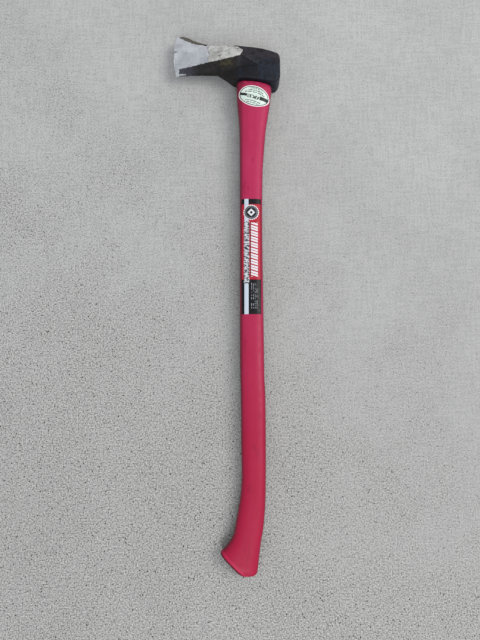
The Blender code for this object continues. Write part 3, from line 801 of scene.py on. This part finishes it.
def black_finish(p, at, bare, crease):
    """Blue-black below and lighter brown above, a painted reflection of the sky on the crowned cheeks;
    painted shade on the relief and in its notch and crease, and a painted highlight beside the crease; with
    rust and olive stains on the relief.
    """
    x, y, _ = p.axes(at)
    # Painted reflection: the black turns lighter and browner up the head, as the crowned cheek reflects the
    # sky.
    upward = p.jitter(y, at, 0.018, 0.03, 4)
    black = p.mix(p.ramp(upward, -0.004, 0.010), srgb(25, 32, 45), srgb(46, 42, 48))
    black = p.lay(black, (60, 60, 66), p.ramp(p.noise(at, 0.003, 4), 0.48, 0.72), 0.6)
    black = p.lay(black, (20, 19, 24), p.ramp(p.noise(at, 0.009, 3), 0.50, 0.62, 0.0, 0.7))
    # Painted shade: the relief, which slopes down and away from the light, darker than the rest of the black.
    relief_shade = p.mul(p.ramp(x, -0.034, -0.020, 1.0, 0.0), p.ramp(x, -0.139, -0.10, 0.0, 1.0))
    black = p.lay(black, (28, 24, 22), relief_shade, 0.85)
    tip_wear = p.ramp(p.noise(p.stretch(at, 1, 3, 1), 0.007, 4), 0.3, 0.7, 0.5, 1.0)
    black = p.lay(black, (74, 73, 84), p.mul(p.ramp(x, -0.122, -0.092, 1.0, 0.0), tip_wear))
    dull_rim = p.mul(p.ramp(y, 0.032, 0.038), p.ramp(x, -0.080, -0.090))
    black = p.lay(black, (112, 107, 95), dull_rim, 0.65)
    # An olive stain, with brown streaks around it, at the middle of the relief.
    near_stain = p.ramp(p.distance(at, STAIN_AT, 1.0, 2.6), 0.004, 0.020, 1.0, 0.0)
    streaks = p.ramp(p.noise(p.stretch(at, 1, 2.2, 1), 0.007, 4), 0.40, 0.64, 0.0, 0.9)
    stain = p.mul(p.mul(near_stain, streaks), p.ramp(bare, 0.0, 0.001, 1.0, 0.0))
    black = p.lay(black, (68, 63, 38), stain)
    rust = p.mul(p.ramp(p.noise(at, 0.005, 6, 0.7), 0.55, 0.68), p.within(x, -0.075, -0.020, 0.02))
    black = p.lay(black, (74, 50, 36), rust, 0.7)
    # Painted shade: the notch below the ridge, on the eye wall, darker.
    notch_shade = p.mul(p.ramp(crease, 0.0, -0.0010), p.ramp(x, -0.026, -0.016))
    black = p.lay(black, (26, 23, 24), notch_shade, 0.65)
    # Painted shade: a near-black line along the hollow of the crease.
    crease_shade = p.mul(p.ramp(p.math("ABSOLUTE", crease), 0.0, 0.0016, 1.0, 0.0), 0.85)
    black = p.lay(black, (10, 8, 10), crease_shade)
    # Painted highlight: a lighter grey line just above the crease, along the ridge's edge.
    crease_edge_highlight = p.mul(p.within(crease, 0.0016, 0.0062, 0.0030), p.ramp(p.noise(at, 0.004, 4), 0.35, 0.6))
    black = p.lay(black, (74, 77, 74), crease_edge_highlight, 0.4)
    return black


def bare_steel(p, at):
    """Bright, in soft patches, at the bit, and duller with a few dark marks behind it, where back is 1."""
    x, y, _ = p.axes(at)
    patches = p.noise(p.stretch(at, 1.0, 0.8, 1.0), 0.013, 3)
    ground = p.mix(p.ramp(patches, 0.34, 0.62), srgb(207, 211, 217), srgb(234, 237, 242))
    ground = p.lay(ground, (208, 202, 212), p.ramp(p.noise(at, 0.024, 2), 0.5, 0.64, 0.0, 0.6))
    ground = p.lay(ground, (170, 174, 180), p.ramp(y, 0.026, 0.006, 0.0, 0.35))
    lengthwise = p.noise(p.stretch(at, 1.0, 12.0, 1.0), 0.014, 4)
    ground = p.lay(ground, (168, 172, 178), p.ramp(lengthwise, 0.45, 0.75, 0.0, 0.35))
    worn = p.ramp(p.noise(p.stretch(at, 0.6, 1.0, 1.0), 0.009, 5), 0.36, 0.62)
    worn = p.mix(worn, srgb(168, 167, 164), srgb(214, 214, 209))
    back = p.ramp(p.jitter(x, at, 0.008, 0.014), -0.0785, -0.0755)
    metal = p.mix(back, ground, worn)
    seam = p.mul(p.within(back, 0.15, 0.85, 0.2), p.ramp(p.noise(at, 0.004, 3), 0.42, 0.52))
    metal = p.lay(metal, (96, 92, 88), seam, 0.7)
    marks = p.ramp(p.noise(p.stretch(at, 0.5, 1.0, 1.0), 0.0052, 5, 0.62), 0.585, 0.64)
    metal = p.lay(metal, (98, 92, 86), p.mul(marks, p.ramp(back, 0, 1, 0.12, 0.75)))
    # The ground bevel along the cutting edge, painted near white as a highlight.
    cutting_edge_highlight = p.mul(p.within(x, -0.1405, -0.1372, 0.0010), p.ramp(y, 0.016, 0.022, 1.0, 0.0))
    metal = p.lay(metal, (252, 252, 252), cutting_edge_highlight)
    nick_mark = p.ramp(p.distance(at, NICK_MARK_AT, 0.45, 1.6), 0.0010, 0.0036, 1.0, 0.0)
    metal = p.lay(metal, (110, 114, 118), nick_mark, 0.75)
    return metal, back


def head_material():
    p = Paint("forged_head_steel")
    bare, _ = p.field("bare")
    crease, _ = p.field("crease")
    _, at = p.field("at")
    ragged = p.jitter(p.jitter(bare, at, 0.004, 0.0040, 5), at, 0.0011, 0.0012, 2)
    is_bare = p.ramp(ragged, -0.0003, 0.0003)
    metal, back = bare_steel(p, at)
    p.set(Base_Color=p.mix(is_bare, black_finish(p, at, bare, crease), metal))
    p.set(Metallic=p.mul(is_bare, p.ramp(back, 0, 1, 0.62, 0.35)))
    bare_rough = p.ramp(back, 0, 1, 0.42, 0.6)
    black_rough = p.ramp(p.noise(at, 0.006, 4), 0.3, 0.7, 0.42, 0.68)
    p.set(Roughness=p.mix_numbers(is_bare, black_rough, bare_rough))
    grit = p.add(p.noise(at, 0.0016, 5, 0.65), p.mul(p.noise(at, 0.006, 3), 0.8))
    scratches = p.noise(p.stretch(at, 1.0, 22.0, 1.0), 0.012, 3)
    relief = p.bump(grit, 0.0006, strength=0.5)
    step = p.bump(p.mul(is_bare, -1.0), 0.00012, relief)
    p.set(Normal=p.bump(p.mul(scratches, is_bare), 0.0002, step, 0.25))
    p.set(Specular_IOR_Level=0.25)
    return p.material


def handle_material():
    p = Paint("crimson_lacquer")
    foot, _ = p.field("foot")
    _, at = p.field("at")
    x, y, z = p.axes(at)
    grain = p.noise(p.stretch(at, 1.0, 0.035, 1.0), 0.0022, 4, 0.6)
    cloudy = p.noise(at, 0.05, 3)
    red = p.mix(p.ramp(cloudy, 0.3, 0.7), srgb(181, 40, 83), srgb(189, 47, 92))
    red = p.lay(red, (171, 8, 56), p.ramp(y, -0.72, -0.26, 0.85, 0.0))
    red = p.lay(red, (150, 14, 52), p.ramp(grain, 0.45, 0.75), 0.22)
    scuff = p.ramp(p.noise(p.stretch(at, 1.0, 0.3, 1.0), 0.0034, 5, 0.75), 0.65, 0.73)
    red = p.lay(red, (214, 110, 138), p.mul(scuff, p.ramp(y, -0.60, -0.15, 0.45, 0.15)))
    smear = p.ramp(p.noise(p.stretch(at, 1.0, 0.4, 1.0), 0.010, 5, 0.6), 0.57, 0.70)
    red = p.lay(red, (140, 14, 50), smear, 0.35)
    grime = p.mul(p.ramp(y, -0.052, -0.030), p.ramp(p.noise(at, 0.006, 4), 0.35, 0.65))
    red = p.lay(red, (84, 18, 36), grime, 0.45)
    # Painted shade: the handle's sides darker than its top face.
    red = p.lay(red, (88, 5, 25), p.ramp(z, -0.002, 0.0125, 0.92, 0.0))
    # Painted shade: the handle's front edge darker still, from the head down to the grip, on the side away
    # from the key light.
    front_edge_shade = p.mul(p.ramp(x, -0.0170, -0.0222), p.ramp(y, -0.70, -0.60))
    red = p.lay(red, (88, 5, 25), front_edge_shade, 0.45)
    # Painted highlight: a lighter red band along the knob's rounded end edge.
    wear_and_sheen = p.mul(p.within(foot, 0.0034, 0.0076, 0.0020), p.ramp(p.noise(at, 0.006, 4), 0.3, 0.6))
    red = p.lay(red, (214, 44, 92), wear_and_sheen, 0.5)
    # Painted shade: a dark band right at the knob's end edge.
    red = p.lay(red, (84, 6, 30), p.ramp(foot, 0.0018, 0.0034, 1.0, 0.0))
    # The tenon in the eye is bare wood, seen from its sawn end.
    rings = p.noise(p.stretch(at, 1.0, 0.1, 0.35), 0.0015, 3)
    wood = p.mix(p.ramp(rings, 0.35, 0.65), srgb(188, 150, 106), srgb(134, 96, 60))
    in_eye = p.ramp(y, WOOD_END_Y - 0.0002, WOOD_END_Y + 0.0002)
    p.set(Base_Color=p.mix(in_eye, red, wood))
    satin = p.ramp(p.noise(at, 0.012, 4), 0.3, 0.7, 0.40, 0.54)
    p.set(Roughness=p.mix_numbers(in_eye, satin, 0.75))
    peel = p.bump(p.noise(at, 0.0024, 2), 0.0002, strength=0.35)
    p.set(Normal=p.bump(grain, 0.00025, peel, 0.35))
    p.set(Specular_IOR_Level=0.27, Coat_Weight=0.04, Coat_Roughness=0.3)
    return p.material


def wedge_wood_material():
    p = Paint("wedge_hardwood")
    _, at = p.field("at")
    fleck = p.noise(p.stretch(at, 0.4, 0.1, 1.0), 0.0012, 4)
    p.set(Base_Color=p.mix(p.ramp(fleck, 0.35, 0.65), srgb(205, 172, 128), srgb(160, 122, 82)))
    p.set(Roughness=p.ramp(fleck, 0.3, 0.7, 0.65, 0.85))
    p.set(Normal=p.bump(fleck, 0.0003, strength=0.5))
    return p.material


def wedge_steel_material():
    p = Paint("wedge_dull_steel")
    _, at = p.field("at")
    blotch = p.noise(at, 0.003, 5, 0.65)
    p.set(Base_Color=p.mix(p.ramp(blotch, 0.45, 0.7), srgb(150, 148, 144), srgb(104, 78, 58)))
    p.set(Metallic=p.ramp(blotch, 0.45, 0.7, 0.9, 0.3))
    p.set(Roughness=p.ramp(blotch, 0.3, 0.7, 0.38, 0.7))
    p.set(Normal=p.bump(p.noise(at, 0.0008, 4), 0.0002, strength=0.5))
    return p.material


def oval_material():
    """A mint oval with a white rim, a dark line and plain dark bands. It carries no lettering."""
    p = Paint("oval_label_print")
    _, own = p.field("print")
    x, y, _ = p.axes(own)
    # radius is 1 on the outline, and inside is in metres from it.
    radius = p.length(p.mul(x, 2 / OVAL_WIDTH), p.mul(y, 2 / OVAL_HEIGHT))
    inside = p.mul(p.length(x, y), p.sub(p.math("DIVIDE", 1.0, p.largest(radius, 0.05)), 1.0))
    mint = p.mix(p.ramp(p.noise(own, 0.006, 3), 0.3, 0.7), srgb(216, 236, 224), srgb(236, 247, 240))
    dark = srgb(26, 34, 34)
    # A dark band at each end of the middle, and uneven blots between the two.
    ragged = p.jitter(y, own, 0.0045, 0.0020, 2)
    left = p.mul(p.within(ragged, -0.0030, 0.0014, 0.0004), p.within(x, -0.0270, -0.0122, 0.0008))
    right = p.mul(p.within(ragged, -0.0040, 0.0022, 0.0004), p.within(x, 0.0100, 0.0270, 0.0008))
    colour = p.mix(p.largest(left, right), mint, dark)
    dashes = p.noise(p.stretch(own, 1.0, 0.5, 1.0), 0.0024, 2, 0.6)
    blots = p.mul(p.ramp(dashes, 0.47, 0.51), p.within(y, -0.0046, 0.0014, 0.0008))
    blots = p.mul(blots, p.within(x, -0.0115, 0.0092, 0.0010))
    colour = p.mix(p.mul(blots, 0.95), colour, dark)
    # Bowed rows of plain uneven dashes.
    bow = p.add(y, p.mul(p.mul(x, x), 9.0))
    for height, half_width, tall in ((0.0058, 0.017, 0.0016), (0.0090, 0.014, 0.0016),
                                     (0.0122, 0.011, 0.0016), (-0.0090, 0.014, 0.0016),
                                     (-0.0122, 0.010, 0.0014)):
        row = p.within(bow, height, height + tall, 0.0004)
        row = p.mul(row, p.within(x, -half_width, half_width, 0.0004))
        row = p.mul(row, p.ramp(p.noise(p.stretch(own, 1.0, 0.2, 1.0), 0.0019, 1), 0.44, 0.50))
        colour = p.lay(colour, (44, 60, 56), row, 0.9)
    colour = p.lay(colour, (12, 18, 18), p.within(inside, OVAL_RIM, OVAL_RIM + OVAL_LINE, 0.0004))
    colour = p.lay(colour, (253, 254, 253), p.ramp(inside, OVAL_RIM + 0.0001, OVAL_RIM - 0.0001))
    worn = p.ramp(p.noise(own, 0.0028, 5, 0.7), 0.66, 0.72)
    colour = p.lay(colour, (190, 150, 156), worn, 0.35)
    p.set(Base_Color=colour)
    p.set(Roughness=p.ramp(p.noise(own, 0.004, 3), 0.3, 0.7, 0.32, 0.5))
    p.set(Normal=p.bump(p.noise(own, 0.005, 2), 0.0003, strength=0.3))
    return p.material


def badge(p, colour, x, y, white):
    """A dark disc with a scalloped white rim and a plain white lozenge, round 0, 0."""
    radius, angle = p.length(x, y), p.math("ARCTAN2", y, x)
    scallop = p.add(BADGE_RADIUS, p.mul(p.math("COSINE", p.mul(angle, 22.0)), 0.0006))
    colour = p.mix(p.ramp(p.sub(radius, scallop), -0.0001, 0.0001, 1.0, 0.0), colour, white)
    colour = p.lay(colour, (34, 38, 42), p.ramp(radius, 0.0112, 0.0114, 1.0, 0.0))
    ticks = p.ramp(p.math("COSINE", p.mul(angle, 30.0)), 0.0, 0.3)
    colour = p.lay(colour, (190, 194, 198), p.mul(p.within(radius, 0.0086, 0.0103), p.mul(ticks, 0.7)))
    lozenge = p.add(p.math("ABSOLUTE", x), p.math("ABSOLUTE", y))
    colour = p.mix(p.within(lozenge, 0.0028, 0.0064), colour, white)
    return colour


def strip_material():
    """Red, black and silver bands, a plain badge and a row of equal slanted bars. It carries no lettering."""
    p = Paint("strip_label_print")
    _, own = p.field("print")
    x, y, _ = p.axes(own)
    black, white = srgb(13, 13, 18), srgb(236, 235, 240)
    colour = p.mix(p.ramp(p.noise(own, 0.02, 2), 0.3, 0.7), srgb(178, 24, 50), srgb(188, 32, 58))
    colour = p.mix(p.within(y, HEAD_BLOCK_END, FOOT_BLOCK_START, 0.0002), black, colour)
    on_stripe = p.within(x, *STRIPE)
    colour = p.lay(colour, (218, 229, 243), on_stripe)
    # Uneven plain blocks along the silver stripe, and fine dashes on the lower black block.
    beside = p.mul(p.within(x, STRIPE[0] - 0.0010, STRIPE[1] + 0.0014), p.within(y, 0.0380, 0.1440))
    colour = p.lay(colour, (226, 227, 232), beside, 0.75)
    blocks = p.ramp(p.noise(p.stretch(own, 0.55, 1, 1), 0.0030, 2, 0.6), 0.48, 0.52)
    colour = p.mix(p.mul(p.mul(beside, blocks), 0.9), colour, black)
    for place in (0.0165, 0.0195, 0.0225, 0.0255):
        fine = p.mul(p.within(x, place, place + 0.0008), p.within(y, 0.142, 0.186))
        fine = p.mul(fine, p.ramp(p.noise(p.stretch(own, 0.2, 1, 1), 0.0022, 1), 0.48, 0.54))
        colour = p.lay(colour, (190, 194, 204), fine, 0.85)
    # Pairs of equal slanted bars, with a thin dark line beside them.
    slanted = p.math("PINGPONG", p.add(y, p.mul(x, BAR_SLANT)), BAR_PITCH)
    bars = p.mul(p.within(slanted, 0.0011, 0.0043), p.within(x, *BARS_X))
    colour = p.mix(p.mul(bars, p.within(y, *BARS_Y)), colour, white)
    shade = p.mul(p.within(x, BARS_X[0] - 0.0012, BARS_X[0]), p.within(y, *BARS_Y))
    colour = p.mix(p.mul(shade, 0.8), colour, black)
    colour = badge(p, colour, p.sub(x, BADGE_AT[0]), p.sub(y, BADGE_AT[1]), white)
    side = p.math("MINIMUM", x, p.sub(STRIP_RIGHT - STRIP_LEFT, x))
    colour = p.lay(colour, (70, 16, 26), p.ramp(side, 0.0007, 0.0009, 1.0, 0.0))
    wear_and_sheen = p.ramp(p.noise(p.stretch(own, 1, 0.4, 1), 0.0024, 5, 0.75), 0.64, 0.70)
    colour = p.lay(colour, (186, 120, 130), wear_and_sheen, 0.45)
    p.set(Base_Color=colour, Metallic=p.mul(on_stripe, 0.25), Specular_IOR_Level=0.3)
    p.set(Roughness=p.ramp(p.noise(own, 0.005, 3), 0.3, 0.7, 0.3, 0.48))
    p.set(Normal=p.bump(p.noise(own, 0.006, 2), 0.0003, strength=0.3))
    return p.material


def concrete_material():
    p = Paint("pale_concrete")
    at = p.node("ShaderNodeTexCoord").outputs["Object"]
    x, y, _ = p.axes(at)
    cloud = p.noise(at, 0.16, 4)
    grey = p.mix(p.ramp(cloud, 0.35, 0.65), srgb(191, 191, 190), srgb(198, 198, 197))
    # Painted shade: the floor darker towards -y, standing in for light that falls off that way.
    grey = p.lay(grey, (120, 119, 116), p.ramp(y, -0.55, 0.60, 0.31, 0.0))
    # Broom lines, both ways.
    lines = p.add(p.noise(p.stretch(at, 1.0, 0.12, 1.0), 0.0042, 2),
                  p.noise(p.stretch(at, 0.12, 1.0, 1.0), 0.0042, 2))
    grey = p.lay(grey, (146, 146, 146), p.ramp(lines, 0.88, 1.16, 0.0, 0.22))
    # Sand shows more where the surface is worn, towards -y.
    across = p.add(p.add(y, p.mul(x, 0.8)), p.mul(p.sub(cloud, 0.5), 1.1))
    worn = p.ramp(across, -0.45, 0.40, 1.0, 0.28)
    sand = p.noise(at, 0.0024, 2, 0.8)
    grey = p.lay(grey, (104, 102, 98), p.mul(p.ramp(sand, 0.50, 0.64), p.mul(worn, 0.92)))
    grey = p.lay(grey, (224, 222, 216), p.mul(p.ramp(sand, 0.48, 0.35), p.mul(worn, 0.72)))
    big_pits = p.ramp(p.cells(at, 0.0098), 0.09, 0.15, 1.0, 0.0)
    small_pits = p.ramp(p.cells(p.stretch(at, 1.0, 1.0, 0.0), 0.0064), 0.11, 0.19, 1.0, 0.0)
    grey = p.lay(grey, (62, 60, 57), p.mul(p.largest(big_pits, p.mul(small_pits, 0.7)), worn))
    p.set(Base_Color=grey, Roughness=0.9, Specular_IOR_Level=0.3)
    p.set(Normal=p.bump(p.add(sand, p.mul(p.noise(at, 0.010, 4), 0.5)), 0.0010, strength=0.5))
    return p.material


# ---------------- stage


def build_floor():
    mesh = bpy.data.meshes.new("floor")
    half = FLOOR_SIZE / 2
    corners = [(-half, -half, 0), (half, -half, 0), (half, half, 0), (-half, half, 0)]
    mesh.from_pydata(corners, [], [(0, 1, 2, 3)])
    mesh.materials.append(concrete_material())
    floor = bpy.data.objects.new("floor", mesh)
    bpy.context.scene.collection.objects.link(floor)


def build_camera():
    data = bpy.data.cameras.new("camera")
    data.lens, data.sensor_width = CAMERA_LENS, 36.0
    camera = bpy.data.objects.new("camera", data)
    bpy.context.scene.collection.objects.link(camera)
    eye = TOOL.translation
    camera.location = (eye.x + CAMERA_FROM_EYE[0], eye.y + CAMERA_FROM_EYE[1], CAMERA_HEIGHT)
    camera.rotation_euler = (CAMERA_PITCH, 0, 0)
    bpy.context.scene.camera = camera


def add_light(name, place, size, power, colour):
    data = bpy.data.lights.new(name, "AREA")
    data.shape, data.size, data.energy = "DISK", size, power
    data.color = colour
    light = bpy.data.objects.new(name, data)
    bpy.context.scene.collection.objects.link(light)
    light.location = place
    light.rotation_euler = (-light.location).to_track_quat("-Z", "Y").to_euler()


def build_light():
    world = bpy.data.worlds.new("sky")
    world.use_nodes = True
    background = world.node_tree.nodes["Background"]
    background.inputs["Color"].default_value = SKY_COLOUR
    background.inputs["Strength"].default_value = SKY_STRENGTH
    bpy.context.scene.world = world
    for light in LIGHTS:
        add_light(*light)
    bpy.context.scene.view_settings.view_transform = "Standard"


def main():
    build_camera()
    build_light()
    build_floor()
    build_head()
    shape = HandleShape()
    build_handle(shape)
    add_wedge("driven_wooden_wedge", wooden_wedge_rings(), 14, wedge_wood_material(),
              "wooden_wedge", STEEL_WEDGES.values())
    steel = wedge_steel_material()
    for seed, (name, x) in enumerate(STEEL_WEDGES.items(), 15):
        add_wedge("driven_" + name, steel_wedge_rings(x), seed, steel, name)
    add_label("oval_label_skin", 44, 34, oval_place, shape, oval_material(), "oval_label")
    add_label("strip_label_skin", 36, 120, strip_place, shape, strip_material(), "strip_label")


main()
